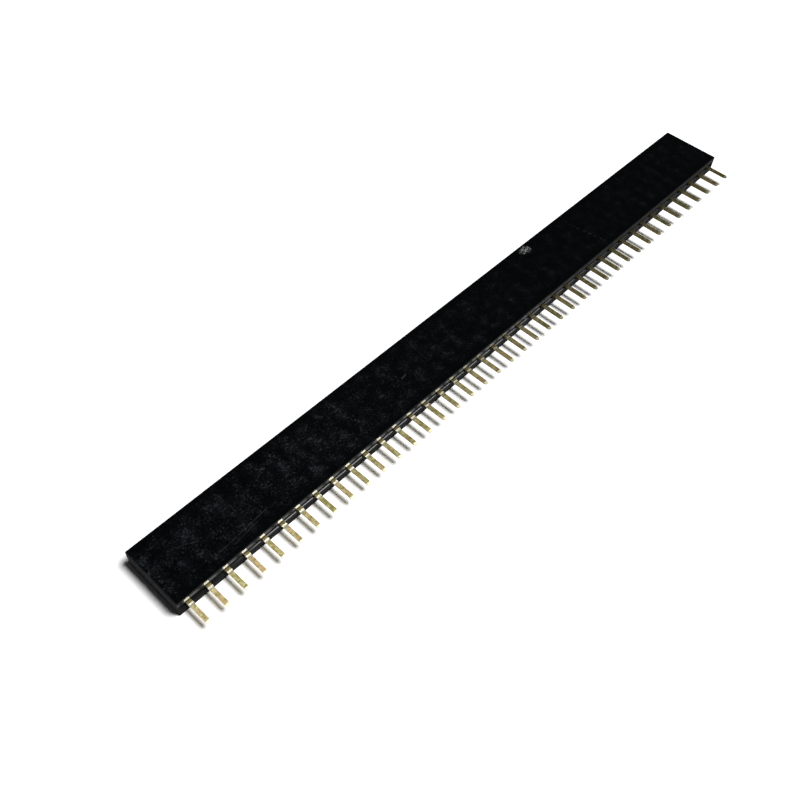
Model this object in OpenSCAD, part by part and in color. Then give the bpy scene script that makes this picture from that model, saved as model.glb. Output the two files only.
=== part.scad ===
// Single-row female pin header strip with stamped spring contacts.
// X runs along the row, +Y points to the mating face, the solder tails point to -Y
// and the strip lies on one wide side, on Z = 0. The origin is at the middle of the
// overall length, housing and tails together, on that resting side.

/* [Strip] */
// Number of contact positions
ways = 40; // [2:1:59]
// Distance between neighbouring contacts
pitch = 2.54; // [2.2:0.02:4]
// Extra plastic beyond half a pitch at each end
end_extra = 0.1; // [0:0.05:0.5]
// Housing depth, from the solder face to the mating face
body_h = 8.5; // [6.8:0.1:14]
// Housing thickness, across the row
body_t = 2.54; // [2.1:0.02:4]
// Chamfer along every outer edge of the housing
edge_chamfer = 0.08; // [0.02:0.01:0.15]

/* [Solder face] */
// Width of the groove at the solder face, between its rounded lips
groove_w = 1.06; // [1:0.02:1.6]
// Radius of the two lips
lip_r = 0.3; // [0.1:0.02:0.32]
// Depth of the groove
groove_depth = 0.45; // [0.35:0.05:0.7]
// Wall left at each end of the groove
groove_end = 0.35; // [0.2:0.05:0.6]
// Thickness of the floor that the tails pass through, groove included
floor_t = 1.25; // [0.9:0.05:1.6]

/* [Contact cavity] */
// Cavity width along the row
cavity_w = 1.5; // [1.4:0.02:1.8]
// Cavity height across the row
cavity_t = 1.2; // [1.14:0.02:1.6]
// How far the lead-in widens the mouth of the cavity on each side
lead_in = 0.22; // [0.1:0.02:0.3]
// Depth of the lead-in
lead_in_depth = 0.45; // [0.2:0.05:0.8]
// Gap between the contact and the floor, the slot or the side walls round it
slot_gap = 0.04; // [0.02:0.01:0.08]
// Gap above and below the folded base of the contact
seat_gap = 0.1; // [0.04:0.01:0.14]

/* [Contact sheet] */
// Thickness of the sheet metal
sheet_t = 0.22; // [0.15:0.01:0.27]
// Inside radius of the folds
fold_r = 0.1; // [0.05:0.01:0.15]

/* [Solder tail] */
// Length of the tail outside the housing
tail_l = 3.25; // [2:0.05:6]
// Tail width
tail_w = 0.54; // [0.4:0.02:0.58]
// Width of the root shoulder, where the tail leaves the housing
root_w = 0.62; // [0.6:0.01:0.8]
// Length of the root shoulder outside the housing
root_l = 0.5; // [0.2:0.05:1]
// Length of the bevelled tip
tip_l = 0.32; // [0.2:0.02:0.8]
// Width of the tail at its very end
tip_w = 0.34; // [0.2:0.02:0.4]
// Thickness of the tail at its very end
tip_t = 0.1; // [0.02:0.01:0.14]

/* [Contact base] */
// Length of the folded base
base_l = 1.35; // [1:0.05:1.6]
// Length of the joggle between the tail and the web of the base
joggle_l = 0.6; // [0.5:0.05:0.9]
// Length of a retention barb
barb_l = 0.45; // [0.3:0.05:0.6]
// Height of a retention barb across the row
barb_t = 0.36; // [0.2:0.02:0.5]
// Gap left between the tip of a barb and the cavity wall
barb_gap = 0.01; // [0.005:0.005:0.02]

/* [Spring leaves] */
// Gap between the two leaves where they grip a mating pin
grip_gap = 0.46; // [0.3:0.02:0.56]
// Distance of the grip point below the mating face
grip_depth = 1.9; // [1.4:0.1:2.4]
// Distance of the leaf ends below the mating face
leaf_depth = 0.55; // [0.5:0.05:0.9]
// Leaf width at its root
leaf_root_w = 0.72; // [0.6:0.02:0.8]
// Leaf width at its end
leaf_end_w = 0.46; // [0.3:0.02:0.56]
// How far a leaf end flares outward from the grip point
flare = 0.2; // [0.1:0.02:0.24]

/* [Hidden] */

// Steps along one stretch of a leaf's curve
leaf_steps = 6;
// Overrun of a cut past the face it opens
cut_over = 0.2;

strip_l = ways * pitch + 2 * end_extra;
solder_y = (tail_l - body_h) / 2;
mid_z = body_t / 2;
base_w = cavity_w - 2 * (slot_gap + barb_gap);
base_t = cavity_t - 2 * seat_gap;
web_z = (sheet_t - base_t) / 2;
neck_y = floor_t + slot_gap;
base_y = neck_y + joggle_l;
leaf_y = base_y + base_l;
grip_y = body_h - grip_depth;
leaf_end_y = body_h - leaf_depth;
wall_x = (base_w - sheet_t) / 2;
grip_x = (grip_gap + sheet_t) / 2;

function contact_name(i) = str("contact_", i < 10 ? "0" : "", i);

// Place of contact i along the row
function contact_x(i) = (i - (ways + 1) / 2) * pitch;

// Smooth step from 0 to 1 with level ends
function ease(u) = u * u * (3 - 2 * u);

// Centre line of a leaf, as [distance from the pin's axis, height over the solder face]
function leaf_line() = concat(
    [[wall_x, leaf_y - sheet_t], [wall_x, leaf_y]],
    [for (i = [1 : leaf_steps])
        let (u = i / leaf_steps)
        [wall_x + (grip_x - wall_x) * ease(u), leaf_y + (grip_y - leaf_y) * u]],
    [for (i = [1 : leaf_steps])
        let (u = i / leaf_steps)
        [grip_x + flare * u * u, grip_y + (leaf_end_y - grip_y) * u]]
);

// Unit normal of a line at point i, pointing away from the pin
function normal_at(line, i) =
    let (
        a = line[max(i - 1, 0)],
        b = line[min(i + 1, len(line) - 1)],
        d = b - a
    )
    [d[1], -d[0]] / norm(d);

// A line moved sideways by a distance
function moved(line, distance) =
    [for (i = [0 : len(line) - 1]) line[i] + normal_at(line, i) * distance];

// A list of points in the opposite order
function reversed(points) = [for (i = [len(points) - 1 : -1 : 0]) points[i]];

// Outline of a box with its four corners cut off
module chamfered_box_2d(w, h, cut) {
    polygon([
        [cut - w / 2, -h / 2], [w / 2 - cut, -h / 2],
        [w / 2, cut - h / 2], [w / 2, h / 2 - cut],
        [w / 2 - cut, h / 2], [cut - w / 2, h / 2],
        [-w / 2, h / 2 - cut], [-w / 2, cut - h / 2]
    ]);
}

// Extrusion of a Y-Z outline along X, centred on X = 0
module along_x(l) {
    rotate([90, 0, 90]) translate([0, 0, -l / 2]) linear_extrude(l) children();
}

// Extrusion of an X-Z outline towards +Y, starting at Y = 0
module along_y(l) {
    translate([0, l, 0]) rotate([90, 0, 0]) linear_extrude(l) children();
}

// Outer form of the moulding, chamfered along all twelve edges
module moulding() {
    translate([0, body_h / 2, 0]) intersection() {
        along_x(strip_l) chamfered_box_2d(body_h, body_t, edge_chamfer);
        translate([0, -body_h / 2, 0])
            along_y(body_h) chamfered_box_2d(strip_l, body_t, edge_chamfer);
        translate([0, 0, -body_t / 2])
            linear_extrude(body_t) chamfered_box_2d(strip_l, body_h, edge_chamfer);
    }
}

// Section of the groove: a mouth between two rounded lips over a narrow slot
module groove_section() {
    slot_w = groove_w - 2 * lip_r;
    difference() {
        translate([-cut_over, -groove_w / 2]) square([lip_r + cut_over, groove_w]);
        for (side = [-1, 1])
            translate([lip_r, side * groove_w / 2]) circle(lip_r, $fn = 48);
    }
    translate([0, -slot_w / 2]) square([groove_depth, slot_w]);
}

// Groove along the solder face, closed by a wall at each end
module solder_groove() {
    along_x(strip_l - 2 * groove_end) groove_section();
}

// Four-sided lead-in: the overlap of a wedge seen from above and one seen from the end
module lead_in_cut() {
    grow = lead_in / lead_in_depth * cut_over;
    narrow_y = body_h - lead_in_depth;
    wide_y = body_h + cut_over;
    wide_w = cavity_w / 2 + lead_in + grow;
    wide_t = cavity_t / 2 + lead_in + grow;
    intersection() {
        translate([0, 0, -wide_t]) linear_extrude(2 * wide_t) polygon([
            [-cavity_w / 2, narrow_y], [cavity_w / 2, narrow_y],
            [wide_w, wide_y], [-wide_w, wide_y]
        ]);
        along_x(2 * wide_w) polygon([
            [narrow_y, -cavity_t / 2], [narrow_y, cavity_t / 2],
            [wide_y, wide_t], [wide_y, -wide_t]
        ]);
    }
}

// Space for one contact: lead-in, chamber and the slot that its tail passes through
module contact_cavity() {
    slot_w = root_w + 2 * slot_gap;
    slot_t = sheet_t + 2 * slot_gap;
    lead_in_cut();
    translate([-cavity_w / 2, floor_t, -cavity_t / 2])
        cube([cavity_w, body_h - floor_t + cut_over, cavity_t]);
    translate([-slot_w / 2, 0, -slot_t / 2])
        cube([slot_w, floor_t + cut_over, slot_t]);
}

module housing() {
    color("#23272a") translate([0, solder_y, mid_z]) difference() {
        moulding();
        solder_groove();
        for (i = [1 : ways]) translate([contact_x(i), 0, 0]) contact_cavity();
    }
}

// Outline of the tail, root shoulder, neck and web, seen across the row
module blank_outline() {
    side = [
        [tip_w / 2, -tail_l], [tail_w / 2, tip_l - tail_l], [tail_w / 2, -root_l],
        [root_w / 2, (root_w - tail_w) / 2 - root_l],
        [root_w / 2, neck_y], [base_w / 2 - fold_r, neck_y],
        [base_w / 2 - fold_r, leaf_y]
    ];
    polygon(concat(side, [for (p = reversed(side)) [-p[0], p[1]]]));
}

// Side view of the same sheet: bevelled tip, flat tail and the joggle down to the web
module blank_side() {
    h = sheet_t / 2;
    bend = sheet_t / 2;
    polygon([
        [-tail_l, -tip_t / 2], [tip_l - tail_l, -h], [neck_y + bend, -h],
        [base_y, web_z - h], [leaf_y, web_z - h], [leaf_y, web_z + h],
        [base_y + bend, web_z + h], [neck_y + 2 * bend, h],
        [tip_l - tail_l, h], [-tail_l, tip_t / 2]
    ]);
}

// Outer section of the folded base: flat top edges and two rounded lower corners
module fold_section(w, t, r) {
    translate([-w / 2, r]) square([w, t - r]);
    translate([r - w / 2, 0]) square([w - 2 * r, 2 * r]);
    for (side = [-1, 1]) translate([side * (w / 2 - r), r]) circle(r, $fn = 48);
}

// Channel folded from the web and the two side walls
module folded_base() {
    translate([0, base_y, -base_t / 2]) along_y(base_l) difference() {
        fold_section(base_w, base_t, fold_r + sheet_t);
        translate([0, sheet_t]) fold_section(base_w - 2 * sheet_t, base_t, fold_r);
    }
}

// Outline of a side wall and its leaf, seen along the row
module leaf_outline() {
    polygon([
        [leaf_y - sheet_t, -leaf_root_w / 2], [leaf_y + sheet_t, -leaf_root_w / 2],
        [leaf_end_y - leaf_end_w / 4, -leaf_end_w / 2], [leaf_end_y, -leaf_end_w / 4],
        [leaf_end_y, leaf_end_w / 4], [leaf_end_y - leaf_end_w / 4, leaf_end_w / 2],
        [leaf_y + sheet_t, leaf_root_w / 2], [leaf_y - sheet_t, leaf_root_w / 2]
    ]);
}

// Spring leaf on the +X side: curved in one view, tapered in the other
module leaf() {
    line = leaf_line();
    intersection() {
        translate([0, 0, -leaf_root_w / 2]) linear_extrude(leaf_root_w) polygon(
            concat(moved(line, sheet_t / 2), reversed(moved(line, -sheet_t / 2))));
        along_x(2 * base_w) leaf_outline();
    }
}

// Retention barb on the +X side: a ramp towards the solder face, a sharp step behind it
module barb() {
    y = leaf_y - barb_l - sheet_t;
    reach = cavity_w / 2 - barb_gap;
    translate([0, 0, -barb_t / 2]) linear_extrude(barb_t) polygon([
        [base_w / 2 - sheet_t / 2, y], [base_w / 2, y], [reach, y + barb_l],
        [base_w / 2 - sheet_t / 2, y + barb_l]
    ]);
}

// One stamped contact, standing on the middle of its cavity's solder opening
module spring_contact() {
    color("#cdb979") {
        intersection() {
            translate([0, 0, -base_t / 2]) linear_extrude(base_t) blank_outline();
            along_x(base_w) blank_side();
        }
        folded_base();
        for (side = [0, 1]) mirror([side, 0, 0]) {
            leaf();
            barb();
        }
    }
}

housing();
for (i = [1 : ways])
    translate([contact_x(i), solder_y, mid_z]) spring_contact();
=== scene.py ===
"""Female pin header strip, 1 x 40: finishes, wear, floor, light and camera.

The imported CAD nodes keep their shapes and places. This script gives each of them its
finish and sets the floor, the light and the camera.
"""

import logging
import math
from abc import ABC, abstractmethod
from dataclasses import dataclass
from enum import Enum
from typing import Sequence, Union

import bpy
from mathutils import Euler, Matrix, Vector


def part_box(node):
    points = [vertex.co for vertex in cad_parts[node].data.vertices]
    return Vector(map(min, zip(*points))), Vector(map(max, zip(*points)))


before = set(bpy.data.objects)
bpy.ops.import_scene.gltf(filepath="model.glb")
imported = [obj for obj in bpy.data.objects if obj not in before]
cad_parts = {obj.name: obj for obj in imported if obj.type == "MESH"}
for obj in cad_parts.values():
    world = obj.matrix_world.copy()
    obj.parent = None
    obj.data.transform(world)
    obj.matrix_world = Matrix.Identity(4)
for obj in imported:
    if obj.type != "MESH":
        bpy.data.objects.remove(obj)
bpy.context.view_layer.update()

Socket = bpy.types.NodeSocket
Value = Union[Socket, float, Sequence[float]]
Colour = tuple[float, float, float]
Triple = tuple[float, float, float]
Span = tuple[float, float]

LOG = logging.getLogger("pin_header_strip")
MM = 0.001
WHITE: Colour = (1.0, 1.0, 1.0)


class Part(Enum):
    """Kinds of piece in the strip, by the start of their node names."""

    HOUSING = "housing"
    CONTACT = "contact_"

    @classmethod
    def of(cls, name: str) -> "Part":
        """Finds the kind of a node from its name."""
        return next(part for part in cls if name.startswith(part.value))


@dataclass(frozen=True)
class StripSizes:
    """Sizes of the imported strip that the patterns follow, in millimetres."""

    length: float
    solder_y: float
    mating_y: float
    thickness: float
    pitch: float
    tail_end_y: float

    @classmethod
    def measured(cls) -> "StripSizes":
        """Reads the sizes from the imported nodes.

        Returns:
            The strip's sizes, with the pitch taken from two neighbouring contacts.
        """
        low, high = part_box("housing")
        first_low, first_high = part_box("contact_01")
        next_low, next_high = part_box("contact_02")
        step = (next_low.x + next_high.x - first_low.x - first_high.x) / 2
        return cls(
            length=(high.x - low.x) / MM,
            solder_y=low.y / MM,
            mating_y=high.y / MM,
            thickness=(high.z - low.z) / MM,
            pitch=step / MM,
            tail_end_y=first_low.y / MM,
        )


@dataclass(frozen=True)
class Speckle:
    """Noise pattern that is cut to a mask: 0 at the first level and 1 at the second.

    Scale counts cells per unit of the coordinates, detail counts octaves of finer noise,
    and roughness is the strength of those octaves.
    """

    scale: float
    detail: float
    roughness: float
    levels: Span = (0.0, 1.0)


class Graph:
    """Short typed calls for building a node tree."""

    def __init__(self, tree: bpy.types.NodeTree) -> None:
        """Keeps the tree that the nodes go into."""
        self.tree = tree

    def node(self, kind: str, **settings: object) -> bpy.types.Node:
        """Adds a node and sets its properties.

        Args:
            kind: Blender's name of the node type.
            settings: Properties to set on the node.

        Returns:
            The new node.
        """
        made = self.tree.nodes.new(kind)
        for name, value in settings.items():
            setattr(made, name, value)
        return made

    def feed(self, target: Socket, value: Value) -> None:
        """Links a socket to an input, or writes a constant on it."""
        if isinstance(value, bpy.types.NodeSocket):
            self.tree.links.new(value, target)
        elif hasattr(target, "default_value"):
            target.default_value = value

    def math(self, operation: str, *values: Value, clamp: bool = False) -> Socket:
        """Adds a Math node on one, two or three values and returns its result."""
        made = self.node("ShaderNodeMath", operation=operation, use_clamp=clamp)
        for socket, value in zip(made.inputs, values):
            self.feed(socket, value)
        return made.outputs[0]

    def vector(self, operation: str, *values: Value) -> bpy.types.Node:
        """Adds a Vector Math node on its values and returns the node."""
        made = self.node("ShaderNodeVectorMath", operation=operation)
        for socket, value in zip(made.inputs, values):
            self.feed(socket, value)
        return made

    def ramp(self, value: Value, low: float, high: float) -> Socket:
        """Smooth step of a value.

        Args:
            value: The value to read.
            low: Where the result is 0.
            high: Where the result is 1; it may be below low.

        Returns:
            A socket that runs from 0 to 1.
        """
        made = self.node("ShaderNodeMapRange", interpolation_type="SMOOTHSTEP")
        self.feed(made.inputs["Value"], value)
        if low < high:
            self.feed(made.inputs["From Min"], low)
            self.feed(made.inputs["From Max"], high)
            return made.outputs["Result"]
        self.feed(made.inputs["From Min"], high)
        self.feed(made.inputs["From Max"], low)
        return self.math("SUBTRACT", 1.0, made.outputs["Result"])

    def window(self, value: Value, low: float, high: float, soft: float) -> Socket:
        """Mask that is 1 from low to high and falls to 0 over a soft distance outside."""
        rise = self.ramp(value, low - soft, low)
        return self.math("MULTIPLY", rise, self.ramp(value, high + soft, high))

    def toward(self, value: Value, goal: float, share: Socket) -> Socket:
        """Moves a value towards a goal by a share from 0 to 1."""
        gap = self.math("SUBTRACT", goal, value)
        return self.math("MULTIPLY_ADD", gap, share, value)

    def product(self, *values: Value) -> Socket:
        """Multiplies two or more values."""
        total = values[0]
        for value in values[1:]:
            total = self.math("MULTIPLY", total, value)
        return total

    def between(self, value: Value, low: float, high: float) -> Socket:
        """Straight-line change from low to high as the value goes from 0 to 1."""
        return self.math("MULTIPLY_ADD", value, high - low, low)

    def blend(self, factor: Value, first: Value, second: Value) -> Socket:
        """Mixes two colours by a factor and returns the mixed colour."""
        made = self.node("ShaderNodeMix", data_type="RGBA")
        self.feed(made.inputs[0], factor)
        self.feed(made.inputs[6], opaque(first))
        self.feed(made.inputs[7], opaque(second))
        return made.outputs[2]

    def noise(self, place: Value, speckle: Speckle) -> Socket:
        """Adds the noise of a speckle at a place and returns it uncut, from 0 to 1."""
        made = self.node("ShaderNodeTexNoise")
        self.feed(made.inputs["Vector"], place)
        self.feed(made.inputs["Scale"], speckle.scale)
        self.feed(made.inputs["Detail"], speckle.detail)
        self.feed(made.inputs["Roughness"], speckle.roughness)
        return made.outputs["Fac"]

    def speckled(self, place: Value, speckle: Speckle) -> Socket:
        """Adds the noise of a speckle at a place and returns its mask."""
        return self.ramp(self.noise(place, speckle), *speckle.levels)

    def group(self, tree: bpy.types.NodeTree, **inputs: Value) -> bpy.types.Node:
        """Places a node group and fills its inputs.

        Args:
            tree: The group's node tree.
            inputs: Values by input name, with "_" for a space.

        Returns:
            The group's node.
        """
        made = self.node("ShaderNodeGroup", node_tree=tree)
        for name, value in inputs.items():
            self.feed(made.inputs[name.replace("_", " ")], value)
        return made


def opaque(value: Value) -> Value:
    """Adds full opacity to a plain colour, and passes a socket through."""
    if isinstance(value, (bpy.types.NodeSocket, float)):
        return value
    return (*value, 1.0) if len(value) == 3 else value


def new_group(
    name: str, inputs: dict[str, tuple[str, object]], outputs: dict[str, str]
) -> tuple[bpy.types.NodeTree, Graph, bpy.types.Node, bpy.types.Node]:
    """Starts a shader node group with named sockets.

    Args:
        name: Name of the group.
        inputs: Socket type and default value of each input.
        outputs: Socket type of each output.

    Returns:
        The tree, its graph, and its input and output nodes.
    """
    tree = bpy.data.node_groups.new(name, "ShaderNodeTree")
    for label, (kind, default) in inputs.items():
        made = tree.interface.new_socket(label, in_out="INPUT", socket_type=kind)
        if default is not None:
            made.default_value = default
    for label, kind in outputs.items():
        tree.interface.new_socket(label, in_out="OUTPUT", socket_type=kind)
    graph = Graph(tree)
    return tree, graph, graph.node("NodeGroupInput"), graph.node("NodeGroupOutput")


class SurfaceEffects:
    """Shader node groups for the effects that the finishes share.

    The grain adds a broad noise to a fine one. A stroke is solid up to a part of its
    width and is interrupted where its break noise is low.
    """

    FINE = Speckle(1.0, 3.0, 0.6)
    BROAD = Speckle(0.23, 2.0, 0.5)
    BROAD_SHARE = 0.45
    TONE_GAIN = 3.0
    STROKE_CORE = 0.35
    BREAK = Speckle(2.6, 2.0, 0.7)
    MOST_BREAKS = 0.55
    BREAK_EDGE = 0.12

    def __init__(self) -> None:
        """Builds every group once."""
        self.grain = self._grain()
        self.stroke = self._stroke()

    def _grain(self) -> bpy.types.NodeTree:
        """Fine mottled grain of a moulded or rolled surface.

        Returns:
            A group with the outputs Tone, from 0 to 1, and Height, about zero.
        """
        tree, graph, given, result = new_group(
            "surface_grain",
            {
                "Place": ("NodeSocketVector", None),
                "Fineness": ("NodeSocketFloat", 4.0),
                "Contrast": ("NodeSocketFloat", 1.0),
            },
            {"Tone": "NodeSocketFloat", "Height": "NodeSocketFloat"},
        )
        place = graph.node("ShaderNodeVectorMath", operation="SCALE")
        graph.feed(place.inputs[0], given.outputs["Place"])
        graph.feed(place.inputs["Scale"], given.outputs["Fineness"])
        fine = graph.noise(place.outputs[0], self.FINE)
        broad = graph.noise(place.outputs[0], self.BROAD)
        fine_part = graph.math("MULTIPLY", fine, 1.0 - self.BROAD_SHARE)
        raw = graph.math("MULTIPLY_ADD", broad, self.BROAD_SHARE, fine_part)
        centred = graph.math("SUBTRACT", raw, 0.5)
        height = graph.math("MULTIPLY", centred, given.outputs["Contrast"])
        tone = graph.math("MULTIPLY_ADD", height, self.TONE_GAIN, 0.5, clamp=True)
        graph.feed(result.inputs["Tone"], tone)
        graph.feed(result.inputs["Height"], height)
        return tree

    def _stroke(self) -> bpy.types.NodeTree:
        """One scratch between two points of a flat face.

        Returns:
            A group with the output Mask, 1 on the scratch and 0 off it.
        """
        tree, graph, given, result = new_group(
            "scratch_stroke",
            {
                "Place": ("NodeSocketVector", None),
                "Start": ("NodeSocketVector", (0.0, 0.0, 0.0)),
                "End": ("NodeSocketVector", (1.0, 0.0, 0.0)),
                "Width": ("NodeSocketFloat", 0.1),
                "Breaks": ("NodeSocketFloat", 0.5),
            },
            {"Mask": "NodeSocketFloat"},
        )
        start, place = given.outputs["Start"], given.outputs["Place"]
        along = graph.vector("SUBTRACT", given.outputs["End"], start)
        offset = graph.vector("SUBTRACT", place, start)
        reach = graph.vector("DOT_PRODUCT", along.outputs[0], along.outputs[0])
        travel = graph.vector("DOT_PRODUCT", offset.outputs[0], along.outputs[0])
        share = graph.math(
            "DIVIDE", travel.outputs["Value"], reach.outputs["Value"], clamp=True
        )
        foot = graph.node("ShaderNodeVectorMath", operation="SCALE")
        graph.feed(foot.inputs[0], along.outputs[0])
        graph.feed(foot.inputs["Scale"], share)
        gap = graph.vector("DISTANCE", offset.outputs[0], foot.outputs[0])
        ratio = graph.math("DIVIDE", gap.outputs["Value"], given.outputs["Width"])
        line = graph.ramp(ratio, 1.0, self.STROKE_CORE)
        cut = graph.between(given.outputs["Breaks"], 0.0, self.MOST_BREAKS)
        whole = graph.math("SUBTRACT", graph.noise(place, self.BREAK), cut)
        kept = graph.ramp(whole, 0.0, self.BREAK_EDGE)
        graph.feed(result.inputs["Mask"], graph.math("MULTIPLY", line, kept))
        return tree


class Finish(ABC):
    """Base of the finishes: a material with one Principled shader."""

    name: str

    @abstractmethod
    def material(self) -> bpy.types.Material:
        """Builds the finish and returns its material."""

    def start(self) -> tuple[bpy.types.Material, Graph, bpy.types.Node]:
        """Makes an empty material.

        Returns:
            The material, its graph and its Principled shader.
        """
        material = bpy.data.materials.new(self.name)
        material.use_nodes = True
        material.node_tree.nodes.clear()
        graph = Graph(material.node_tree)
        shader = graph.node("ShaderNodeBsdfPrincipled")
        output = graph.node("ShaderNodeOutputMaterial")
        graph.feed(output.inputs["Surface"], shader.outputs[0])
        return material, graph, shader

    @staticmethod
    def place_mm(graph: Graph, origin: Vector) -> Socket:
        """Object coordinates in millimetres from a chosen origin.

        Args:
            graph: The material's graph.
            origin: The point, in millimetres, that becomes zero.

        Returns:
            The coordinates.
        """
        coordinates = graph.node("ShaderNodeTexCoord")
        mapping = graph.node("ShaderNodeMapping")
        graph.feed(mapping.inputs["Vector"], coordinates.outputs["Object"])
        mapping.inputs["Scale"].default_value = (1 / MM,) * 3
        mapping.inputs["Location"].default_value = -origin
        return mapping.outputs[0]

    @staticmethod
    def add_bump(
        graph: Graph, shader: bpy.types.Node, height: Value, strength: float, distance: float
    ) -> None:
        """Adds a bump to the shader.

        Args:
            graph: The material's graph.
            shader: The Principled shader.
            height: Relief to read.
            strength: Strength of the bump.
            distance: Height of the relief, in metres.
        """
        bump = graph.node("ShaderNodeBump")
        bump.inputs["Strength"].default_value = strength
        bump.inputs["Distance"].default_value = distance
        graph.feed(bump.inputs["Height"], height)
        graph.feed(shader.inputs["Normal"], bump.outputs[0])


@dataclass(frozen=True)
class Scratch:
    """One scratch on the wide face, in millimetres from the near end and solder face."""

    start: Span
    end: Span
    width: float
    strength: float
    breaks: float


@dataclass(frozen=True)
class PaintedHighlightLine:
    """One painted highlight along the groove of the solder face, in millimetres: a lighter
    stroke painted where the lamp catches the wall or the groove's lip.

    Height is above the floor, depth is in from the solder face, and the line fades in
    and out between pairs of distances from the near end.
    """

    height: Span
    depth: Span
    fade_in: Span
    fade_out: Span
    soft: float
    strength: float


@dataclass(frozen=True)
class Scuff:
    """One knocked spot on the wide face, placed in the same way as a scratch.

    The ragged noise, times its gain, is added to the distance from the centre, in parts
    of the reach, and the spot ends between the two edge values of that sum.
    """

    centre: Span
    reach: Span
    edge: Span
    ragged: Speckle
    ragged_gain: float
    torn: Speckle
    roughness: float
    relief: float


@dataclass(frozen=True)
class Mottle:
    """Tone of the wide face: flecks on the grain, times a factor for each other effect.

    Each factor is a pair, for no effect and full effect of its mask. The bands follow
    the contacts, and painted shade darkens the face between two distances from either long
    edge.
    """

    flecks: Speckle
    fleck_share: Span
    blotches: Speckle
    blotch_factor: Span
    band_factor: Span
    edge_shade_reach: Span
    edge_shade_factor: Span
    near_factor: Span
    power: float


@dataclass(frozen=True)
class MouldedPlastic(Finish):
    """Near-black thermoplastic with a faintly mottled wide face and duller sides.

    Heights are above the floor, depths are in from the solder face and spans along the
    strip start at its near end, all in millimetres.
    """

    sizes: StripSizes
    effects: SurfaceEffects
    name: str = "housing_plastic_moulded"
    dark: Colour = (0.0005, 0.0007, 0.0009)
    pale: Colour = (0.0085, 0.0118, 0.0140)
    # Shared colour of real wear (scratches, scuff) and of painted highlights on the solder
    # face.
    wear_and_highlight: Colour = (0.30, 0.30, 0.30)
    # Mould parting line at mid height of the end faces, painted lighter as a highlight that
    # stands in for the light on a notch there.
    seam_and_highlight: Colour = (0.030, 0.030, 0.032)
    seam_highlight_band: Span = (1.28, 1.48)
    seam_highlight_soft: float = 0.14
    seam_highlight_share: Span = (0.5, 1.0)
    grain_per_mm: float = 4.2
    refraction: float = 1.38
    smooth: float = 0.19
    matt: float = 0.52
    side_matt: float = 0.42
    solder_matt: float = 1.0
    lip_matt: float = 0.28
    end_matt: float = 1.0
    top_edge: Span = (0.06, 0.02)
    end_edge: Span = (0.05, 0.02)
    near_span: Span = (72.0, 18.0)
    groove_edge: Span = (0.5, 0.4)
    polished_wall: Span = (1.9, 2.36)
    polished_skin: Span = (0.05, 0.03)
    polish_span: Span = (45.0, 78.0)
    polish_share: Span = (1.0, 0.25)
    polish_soft: float = 0.04
    lip_height: Span = (0.86, 1.12)
    lip_depth: Span = (0.03, 0.4)
    lip_span: Span = (3.0, 12.0)
    lip_soft: float = 0.05
    bump_strength: float = 0.6
    bump_distance: float = 0.00002
    relief_share: Span = (0.3, 1.0)
    mottle: Mottle = Mottle(
        flecks=Speckle(5.0, 2.0, 0.6, (0.5, 0.72)),
        fleck_share=(0.35, 0.9),
        blotches=Speckle(0.7, 3.0, 0.6, (0.36, 0.64)),
        blotch_factor=(0.62, 1.1),
        band_factor=(0.7, 1.0),
        edge_shade_reach=(-0.3, 1.6),
        edge_shade_factor=(0.4, 1.0),
        near_factor=(0.58, 0.86),
        power=2.2,
    )
    highlight_breaks: Speckle = Speckle(1.3, 3.0, 0.7, (0.3, 0.5))
    highlight_share: Span = (0.45, 1.0)
    # Painted highlights: lighter bands where the lamp catches the upper solder wall and the
    # groove's lower lip.
    painted_highlight_lines: tuple[PaintedHighlightLine, ...] = (
        PaintedHighlightLine((2.1, 2.16), (-0.1, 0.08), (0.0, 1.0), (100.0, 62.0), 0.05, 0.06),
        PaintedHighlightLine((0.92, 1.04), (0.13, 0.2), (8.0, 14.0), (60.0, 20.0), 0.04, 0.42),
        PaintedHighlightLine((0.92, 1.04), (0.13, 0.2), (34.0, 48.0), (84.0, 52.0), 0.04, 0.45),
        PaintedHighlightLine((0.92, 1.04), (0.13, 0.2), (54.0, 72.0), (104.0, 98.0), 0.04, 0.14),
    )
    scratches: tuple[Scratch, ...] = (
        Scratch((73.6, 6.4), (74.6, 1.0), 0.10, 0.10, 0.9),
        Scratch((85.6, 7.6), (86.0, 6.2), 0.12, 0.10, 1.0),
        Scratch((6.0, 1.4), (13.8, 2.0), 0.06, 0.05, 0.6),
        Scratch((8.5, 1.1), (12.0, 1.5), 0.05, 0.05, 0.6),
        Scratch((37.0, 4.0), (37.7, 4.1), 0.12, 0.08, 0.2),
        Scratch((16.5, 6.2), (16.9, 6.0), 0.12, 0.08, 0.2),
        Scratch((100.6, 0.9), (100.9, 4.4), 0.28, 0.016, 0.9),
    )
    scuff: Scuff = Scuff(
        centre=(65.1, 7.55),
        reach=(1.1, 0.8),
        edge=(1.8, 1.2),
        ragged=Speckle(2.0, 3.0, 0.7),
        ragged_gain=1.6,
        torn=Speckle(4.5, 3.0, 0.6, (0.42, 0.68)),
        roughness=0.4,
        relief=0.8,
    )

    def material(self) -> bpy.types.Material:
        """Builds the plastic.

        Returns:
            The material.
        """
        material, graph, shader = self.start()
        corner = Vector((-self.sizes.length / 2, self.sizes.solder_y, 0.0))
        place = self.place_mm(graph, corner)
        axes = graph.node("ShaderNodeSeparateXYZ")
        graph.feed(axes.inputs[0], place)
        along, depth, height = axes.outputs
        on_top = graph.ramp(height, *(self.sizes.thickness - gap for gap in self.top_edge))
        grain = graph.group(
            self.effects.grain, Place=place, Fineness=self.grain_per_mm, Contrast=1.0
        )
        nearness = graph.ramp(along, *self.near_span)
        tone = self._tone(graph, place, along, depth, nearness, grain)
        scuff = self._scuff(graph, place, along, depth)
        ends = self._ends(graph, along)

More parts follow.
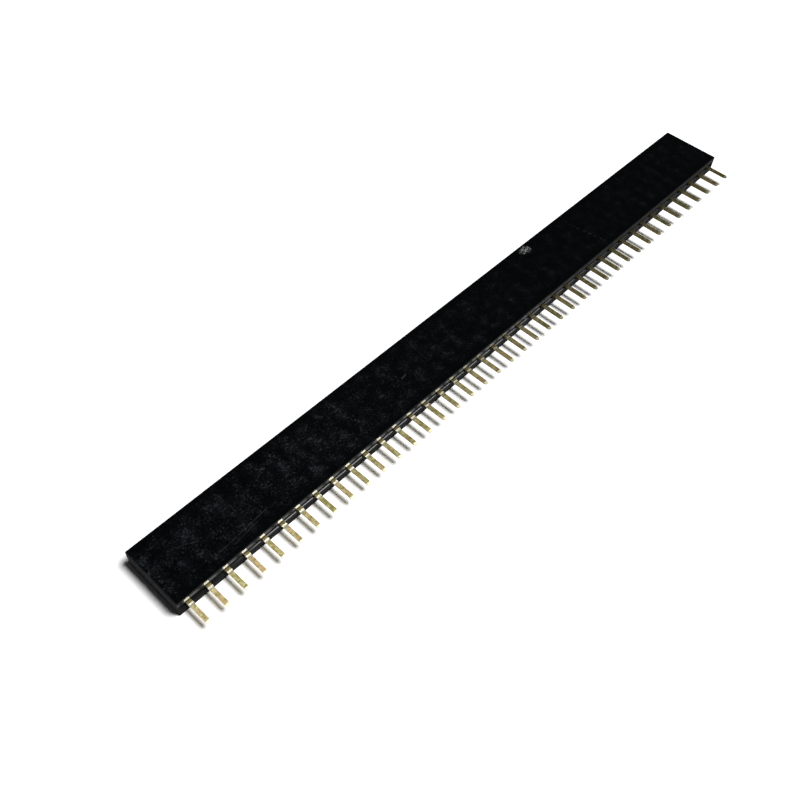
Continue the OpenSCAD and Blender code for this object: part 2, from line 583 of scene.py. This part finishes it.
        # Mould parting line on the end faces, also a painted highlight standing in for the
        # light on a notch.
        seam_and_highlight = graph.product(
            graph.window(height, *self.seam_highlight_band, self.seam_highlight_soft),
            graph.between(grain.outputs["Tone"], *self.seam_highlight_share),
            ends,
        )
        painted_highlight_lines = self._painted_highlight_lines(graph, place, along, depth, height)
        colour = graph.blend(tone, self.dark, self.pale)
        colour = graph.blend(seam_and_highlight, colour, self.seam_and_highlight)
        # One shared colour serves the painted highlights on the solder face and the real
        # wear of the scratches and the scuff.
        for wear_and_highlight_share in (painted_highlight_lines, self._marks(graph, place, on_top), scuff):
            colour = graph.blend(wear_and_highlight_share, colour, self.wear_and_highlight)
        graph.feed(shader.inputs["Base Color"], colour)

        rough = graph.between(tone, self.smooth, self.matt)
        rough = self._side_roughness(graph, rough, along, depth, height, on_top)
        rough = graph.toward(rough, self.end_matt, ends)
        scuffed = graph.product(scuff, self.scuff.roughness)
        rough = graph.math("ADD", rough, scuffed, clamp=True)
        graph.feed(shader.inputs["Roughness"], rough)
        shader.inputs["IOR"].default_value = self.refraction

        share = graph.between(nearness, *self.relief_share)
        relief = graph.product(grain.outputs["Height"], share)
        relief = graph.math("ADD", relief, graph.product(scuff, self.scuff.relief))
        self.add_bump(graph, shader, relief, self.bump_strength, self.bump_distance)
        return material

    def _tone(
        self,
        graph: Graph,
        place: Socket,
        along: Socket,
        depth: Socket,
        nearness: Socket,
        grain: bpy.types.Node,
    ) -> Socket:
        """Mottling of the wide face, which is strongest at the near end.

        Args:
            graph: The material's graph.
            place: Coordinates in millimetres.
            along: Distance from the near end.
            depth: Distance from the solder face.
            nearness: Mask that falls from the near end to the middle.
            grain: Node of the fine grain.

        Returns:
            A tone from 0 to 1.
        """
        look = self.mottle
        turn = graph.product(along, 2 * math.pi / self.sizes.pitch)
        band = graph.math("MULTIPLY_ADD", graph.math("SINE", turn), 0.5, 0.5)
        flecks = graph.speckled(place, look.flecks)
        share = graph.between(nearness, *look.fleck_share)
        mottled = graph.math("MULTIPLY_ADD", flecks, share, grain.outputs["Tone"])
        width = self.sizes.mating_y - self.sizes.solder_y
        # Painted shade: the tone darkens near both long edges of the wide face.
        mating_shade_reach = (width - reach for reach in look.edge_shade_reach)
        away_from_edges = graph.product(
            graph.ramp(depth, *look.edge_shade_reach), graph.ramp(depth, *mating_shade_reach)
        )
        tone = graph.product(
            mottled,
            graph.between(band, *look.band_factor),
            graph.between(away_from_edges, *look.edge_shade_factor),
            graph.between(graph.speckled(place, look.blotches), *look.blotch_factor),
            graph.between(nearness, *look.near_factor),
        )
        return graph.math("POWER", tone, look.power, clamp=True)

    def _side_roughness(
        self,
        graph: Graph,
        rough: Socket,
        along: Socket,
        depth: Socket,
        height: Socket,
        on_top: Socket,
    ) -> Socket:
        """Roughness with the sides, the solder wall, its polished part and its lips.

        Args:
            graph: The material's graph.
            rough: Roughness of the wide face.
            along: Distance from the near end.
            depth: Distance from the solder face.
            height: Distance above the floor.
            on_top: Mask of the wide face.

        Returns:
            The roughness.
        """
        sides = graph.math("SUBTRACT", 1.0, on_top)
        solder = graph.product(sides, graph.ramp(depth, *self.groove_edge))
        polish = graph.product(
            graph.window(height, *self.polished_wall, self.polish_soft),
            graph.ramp(depth, *self.polished_skin),
            graph.between(graph.ramp(along, *self.polish_span), *self.polish_share),
        )
        lips = graph.product(
            graph.window(height, *self.lip_height, self.lip_soft),
            graph.window(depth, *self.lip_depth, self.lip_soft),
            graph.ramp(along, *self.lip_span),
        )
        for goal, share in (
            (self.side_matt, sides),
            (self.solder_matt, solder),
            (self.smooth, polish),
            (self.lip_matt, lips),
        ):
            rough = graph.toward(rough, goal, share)
        return rough

    def _painted_highlight_lines(
        self, graph: Graph, place: Socket, along: Socket, depth: Socket, height: Socket
    ) -> Socket:
        """Painted highlights along the solder face, where the lamp catches its wall and the
        groove's lip.

        Args:
            graph: The material's graph.
            place: Coordinates in millimetres.
            along: Distance from the near end.
            depth: Distance from the solder face.
            height: Distance above the floor.

        Returns:
            How strongly the painted highlights show in the shared colour.
        """
        whole = graph.between(graph.speckled(place, self.highlight_breaks), *self.highlight_share)
        total: Value = 0.0
        for line in self.painted_highlight_lines:
            part = graph.product(
                graph.window(height, *line.height, line.soft),
                graph.window(depth, *line.depth, line.soft),
                graph.ramp(along, *line.fade_in),
                graph.ramp(along, *line.fade_out),
                whole,
                line.strength,
            )
            total = graph.math("MAXIMUM", part, total)
        return total

    def _ends(self, graph: Graph, along: Socket) -> Socket:
        """Mask of the two end faces, from the distance along the strip."""
        half = self.sizes.length / 2
        out = graph.math("ABSOLUTE", graph.math("SUBTRACT", along, half))
        return graph.ramp(out, *(half - gap for gap in self.end_edge))

    def _marks(self, graph: Graph, place: Socket, on_top: Socket) -> Socket:
        """Scratches of the wide face.

        Args:
            graph: The material's graph.
            place: Coordinates in millimetres.
            on_top: Mask of the wide face.

        Returns:
            How strongly the worn colour shows.
        """
        flat = graph.vector("MULTIPLY", place, (1.0, 1.0, 0.0)).outputs[0]
        total: Value = 0.0
        for scratch in self.scratches:
            stroke = graph.group(
                self.effects.stroke,
                Place=flat,
                Start=(*scratch.start, 0.0),
                End=(*scratch.end, 0.0),
                Width=scratch.width,
                Breaks=scratch.breaks,
            )
            part = graph.math("MULTIPLY", stroke.outputs["Mask"], scratch.strength)
            total = graph.math("MAXIMUM", part, total)
        return graph.math("MULTIPLY", total, on_top)

    def _scuff(self, graph: Graph, place: Socket, along: Socket, depth: Socket) -> Socket:
        """Knocked spot on the mating edge.

        Args:
            graph: The material's graph.
            place: Coordinates in millimetres.
            along: Distance from the near end.
            depth: Distance from the solder face.

        Returns:
            Mask of the roughened plastic.
        """
        spot = self.scuff
        shares = [
            graph.math("DIVIDE", graph.math("SUBTRACT", value, centre), reach)
            for value, centre, reach in zip((along, depth), spot.centre, spot.reach)
        ]
        squares = [graph.product(share, share) for share in shares]
        radius = graph.math("SQRT", graph.math("ADD", *squares))
        ragged = graph.noise(place, spot.ragged)
        edge = graph.math("MULTIPLY_ADD", ragged, spot.ragged_gain, radius)
        torn = graph.speckled(place, spot.torn)
        return graph.math("MULTIPLY", graph.ramp(edge, *spot.edge), torn)


@dataclass(frozen=True)
class PlatedMetal(Finish):
    """Pale gold flash over rolled copper alloy, a little different on every contact.

    Depths are in from the solder face, so the tails lie at negative depths. The span of
    the painted shade towards the far end is in parts of the strip's length, from its middle.
    """

    sizes: StripSizes
    effects: SurfaceEffects
    name: str = "contact_metal_plated"
    pale: Colour = (0.87, 0.79, 0.41)
    olive: Colour = (0.44, 0.41, 0.14)
    rosy: Colour = (0.78, 0.54, 0.29)
    # Painted highlight: near-white colour at the root, where the lamp's highlight falls.
    root_highlight: Colour = (0.97, 0.92, 0.72)
    shaded: Colour = (0.34, 0.28, 0.12)
    cut: Colour = (0.84, 0.76, 0.52)
    # Painted shade that darkens the plating towards the far end of the row.
    far_shade: Colour = (0.18, 0.175, 0.14)
    far_shade_span: Span = (-0.60, 0.24)
    grain_per_mm: float = 9.0
    grain_contrast: float = 1.2
    stain: Speckle = Speckle(2.3, 3.0, 0.75, (0.44, 0.56))
    blush: Speckle = Speckle(3.2, 2.0, 0.65, (0.54, 0.60))
    lean: Span = (-0.05, 0.05)
    tip_edge: Span = (0.5, 0.25)
    rough: Span = (0.38, 0.64)
    root_rough: float = 0.25
    metallic: Span = (0.88, 0.80)
    root_start: Span = (-0.66, -0.58)
    root_end: Span = (-0.08, -0.18)
    shade_edge: Span = (-0.28, -0.14)
    bump_strength: float = 0.35
    bump_distance: float = 0.00001

    def material(self) -> bpy.types.Material:
        """Builds the metal.

        Returns:
            The material.
        """
        material, graph, shader = self.start()
        place = self.place_mm(graph, Vector((0.0, self.sizes.solder_y, 0.0)))
        axes = graph.node("ShaderNodeSeparateXYZ")
        graph.feed(axes.inputs[0], place)
        along, depth, _ = axes.outputs
        grain = graph.group(
            self.effects.grain,
            Place=place,
            Fineness=self.grain_per_mm,
            Contrast=self.grain_contrast,
        )
        on_root = graph.ramp(depth, *self.root_start)
        colour = self._colour(graph, place, along, depth, on_root)
        graph.feed(shader.inputs["Base Color"], colour)

        root = graph.product(on_root, graph.ramp(depth, *self.root_end))
        rough = graph.between(grain.outputs["Tone"], *self.rough)
        rough = graph.toward(rough, self.root_rough, root)
        graph.feed(shader.inputs["Roughness"], rough)
        graph.feed(shader.inputs["Metallic"], graph.between(root, *self.metallic))
        height = grain.outputs["Height"]
        self.add_bump(graph, shader, height, self.bump_strength, self.bump_distance)
        return material

    def _colour(
        self, graph: Graph, place: Socket, along: Socket, depth: Socket, on_root: Socket
    ) -> Socket:
        """Stained plating with a painted highlight at the root, painted shade behind it, a
        bare tip and painted shade towards the far end.

        Args:
            graph: The material's graph.
            place: Coordinates in millimetres.
            along: Distance from the strip's middle.
            depth: Distance from the solder face.
            on_root: Mask that rises where the tail ends and the root begins.

        Returns:
            The colour.
        """
        lean = self._lean(graph, along)
        stain = graph.math("ADD", graph.noise(place, self.stain), lean)
        blush = graph.math("SUBTRACT", graph.noise(place, self.blush), lean)
        tail_end = self.sizes.tail_end_y - self.sizes.solder_y
        tip = graph.ramp(depth, *(tail_end + gap for gap in self.tip_edge))
        tint: Value = self.pale
        for share, goal in (
            (graph.ramp(stain, *self.stain.levels), self.olive),
            (graph.ramp(blush, *self.blush.levels), self.rosy),
            # Painted highlight at the root, then painted shade on the neck just outside the
            # housing.
            (on_root, self.root_highlight),
            (graph.ramp(depth, *self.shade_edge), self.shaded),
            (tip, self.cut),
        ):
            tint = graph.blend(share, tint, goal)
        # Painted shade: the plating darkens towards the far end of the row, where the lamp's
        # sheen on the contacts fades.
        far = graph.ramp(along, *(self.sizes.length * share for share in self.far_shade_span))
        end_shaded = graph.vector("MULTIPLY", tint, graph.blend(far, WHITE, self.far_shade))
        return end_shaded.outputs[0]

    def _lean(self, graph: Graph, along: Socket) -> Socket:
        """Draws how far each contact leans from rosy to olive, by its place in the row."""
        index = graph.math("FLOOR", graph.math("DIVIDE", along, self.sizes.pitch))
        draw = graph.node("ShaderNodeTexWhiteNoise", noise_dimensions="1D")
        graph.feed(draw.inputs["W"], index)
        parts = graph.node("ShaderNodeSeparateColor")
        graph.feed(parts.inputs[0], draw.outputs["Color"])
        return graph.between(parts.outputs[0], *self.lean)


@dataclass
class HeaderStrip:
    """The moulding and its forty contacts."""

    sizes: StripSizes
    effects: SurfaceEffects

    def dress(self) -> None:
        """Gives the housing and every contact its finish."""
        finishes = {
            Part.HOUSING: MouldedPlastic(self.sizes, self.effects).material(),
            Part.CONTACT: PlatedMetal(self.sizes, self.effects).material(),
        }
        for name, node in sorted(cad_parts.items()):
            finish = finishes[Part.of(name)]
            for slot in node.material_slots:
                slot.material = finish
            LOG.info("%s takes %s", name, finish.name)


@dataclass
class Studio:
    """Floor, key light, surroundings and camera.

    The floor's size and the camera's range are in metres, the camera's place is in
    millimetres, and angles are in degrees.
    """

    floor_size: float = 6.0
    floor_colour: Colour = (0.93, 0.93, 0.93)
    floor_seen: Colour = (1.22, 1.22, 1.22)
    key_direction: Triple = (0.335, -0.30, 0.86)
    key_spread: float = 27.0
    key_strength: float = 3.8
    room_colour: Colour = WHITE
    room_light: float = 0.02
    wall_light: float = 0.85
    wall_side: Triple = (-0.6, -0.8, 0.0)
    wall_height: Span = (0.5, 0.25)
    wall_width: Span = (-0.1, 0.4)
    camera_place: Triple = (-66.165, -43.307, 87.753)
    camera_turn: Triple = (37.4913, -2.1305, -46.6370)
    camera_range: Span = (0.002, 50.0)
    lens: float = 41.066
    sensor: float = 36.0

    def build(self) -> None:
        """Makes the floor, the lamp, the world and the camera."""
        self._floor()
        self._key()
        self._world()
        self._camera()

    def _floor(self) -> None:
        """White floor that shows the shadow, a little brighter to the camera."""
        half = self.floor_size / 2
        mesh = bpy.data.meshes.new("floor")
        signs = ((-1, -1), (1, -1), (1, 1), (-1, 1))
        corners = [(half * x, half * y, 0.0) for x, y in signs]
        mesh.from_pydata(corners, [], [(0, 1, 2, 3)])
        floor = bpy.data.objects.new("floor", mesh)
        bpy.context.scene.collection.objects.link(floor)

        material = bpy.data.materials.new("floor_white")
        material.use_nodes = True
        material.node_tree.nodes.clear()
        graph = Graph(material.node_tree)
        diffuse = graph.node("ShaderNodeBsdfDiffuse")
        rays = graph.node("ShaderNodeLightPath")
        seen = rays.outputs["Is Camera Ray"]
        shade = graph.blend(seen, self.floor_colour, self.floor_seen)
        graph.feed(diffuse.inputs["Color"], shade)
        output = graph.node("ShaderNodeOutputMaterial")
        graph.feed(output.inputs["Surface"], diffuse.outputs[0])
        mesh.materials.append(material)

    def _key(self) -> None:
        """Round soft lamp."""
        direction = Vector(self.key_direction).normalized()
        lamp = bpy.data.lights.new("key", "SUN")
        lamp.angle = math.radians(self.key_spread)
        lamp.energy = self.key_strength
        key = bpy.data.objects.new("key", lamp)
        key.location = direction
        key.rotation_euler = direction.to_track_quat("Z", "Y").to_euler()
        bpy.context.scene.collection.objects.link(key)

    def _world(self) -> None:
        """Dim room with one pale wall, which shows in reflections, behind a white view."""
        world = bpy.data.worlds.new("room")
        world.use_nodes = True
        world.node_tree.nodes.clear()
        graph = Graph(world.node_tree)
        rays = graph.node("ShaderNodeLightPath")
        view = graph.node("ShaderNodeTexCoord").outputs["Generated"]
        axes = graph.node("ShaderNodeSeparateXYZ")
        graph.feed(axes.inputs[0], view)
        low = graph.ramp(axes.outputs[2], *self.wall_height)
        toward = graph.vector("DOT_PRODUCT", view, self.wall_side)
        ahead = graph.ramp(toward.outputs["Value"], *self.wall_width)
        wall = graph.math("MULTIPLY", low, ahead)
        shine = graph.product(wall, rays.outputs["Is Glossy Ray"], self.wall_light)
        seen = graph.math("MAXIMUM", rays.outputs["Is Camera Ray"], shine)
        strength = graph.between(seen, self.room_light, 1.0)
        background = graph.node("ShaderNodeBackground")
        background.inputs["Color"].default_value = opaque(self.room_colour)
        graph.feed(background.inputs["Strength"], strength)
        output = graph.node("ShaderNodeOutputWorld")
        graph.feed(output.inputs["Surface"], background.outputs[0])
        bpy.context.scene.world = world

    def _camera(self) -> None:
        """Camera above the near end."""
        lens = bpy.data.cameras.new("camera")
        lens.lens = self.lens
        lens.sensor_width = self.sensor
        lens.clip_start, lens.clip_end = self.camera_range
        camera = bpy.data.objects.new("camera", lens)
        camera.location = Vector(self.camera_place) * MM
        turn = [math.radians(angle) for angle in self.camera_turn]
        camera.rotation_euler = Euler(turn, "XYZ")
        bpy.context.scene.collection.objects.link(camera)
        bpy.context.scene.camera = camera


def main() -> None:
    """Dresses the strip and builds the studio around it."""
    logging.basicConfig(level=logging.INFO, format="%(name)s: %(message)s")
    scene = bpy.context.scene
    scene.view_settings.view_transform = "Standard"
    sizes = StripSizes.measured()
    effects = SurfaceEffects()
    HeaderStrip(sizes, effects).dress()
    Studio().build()


if __name__ == "__main__":
    main()
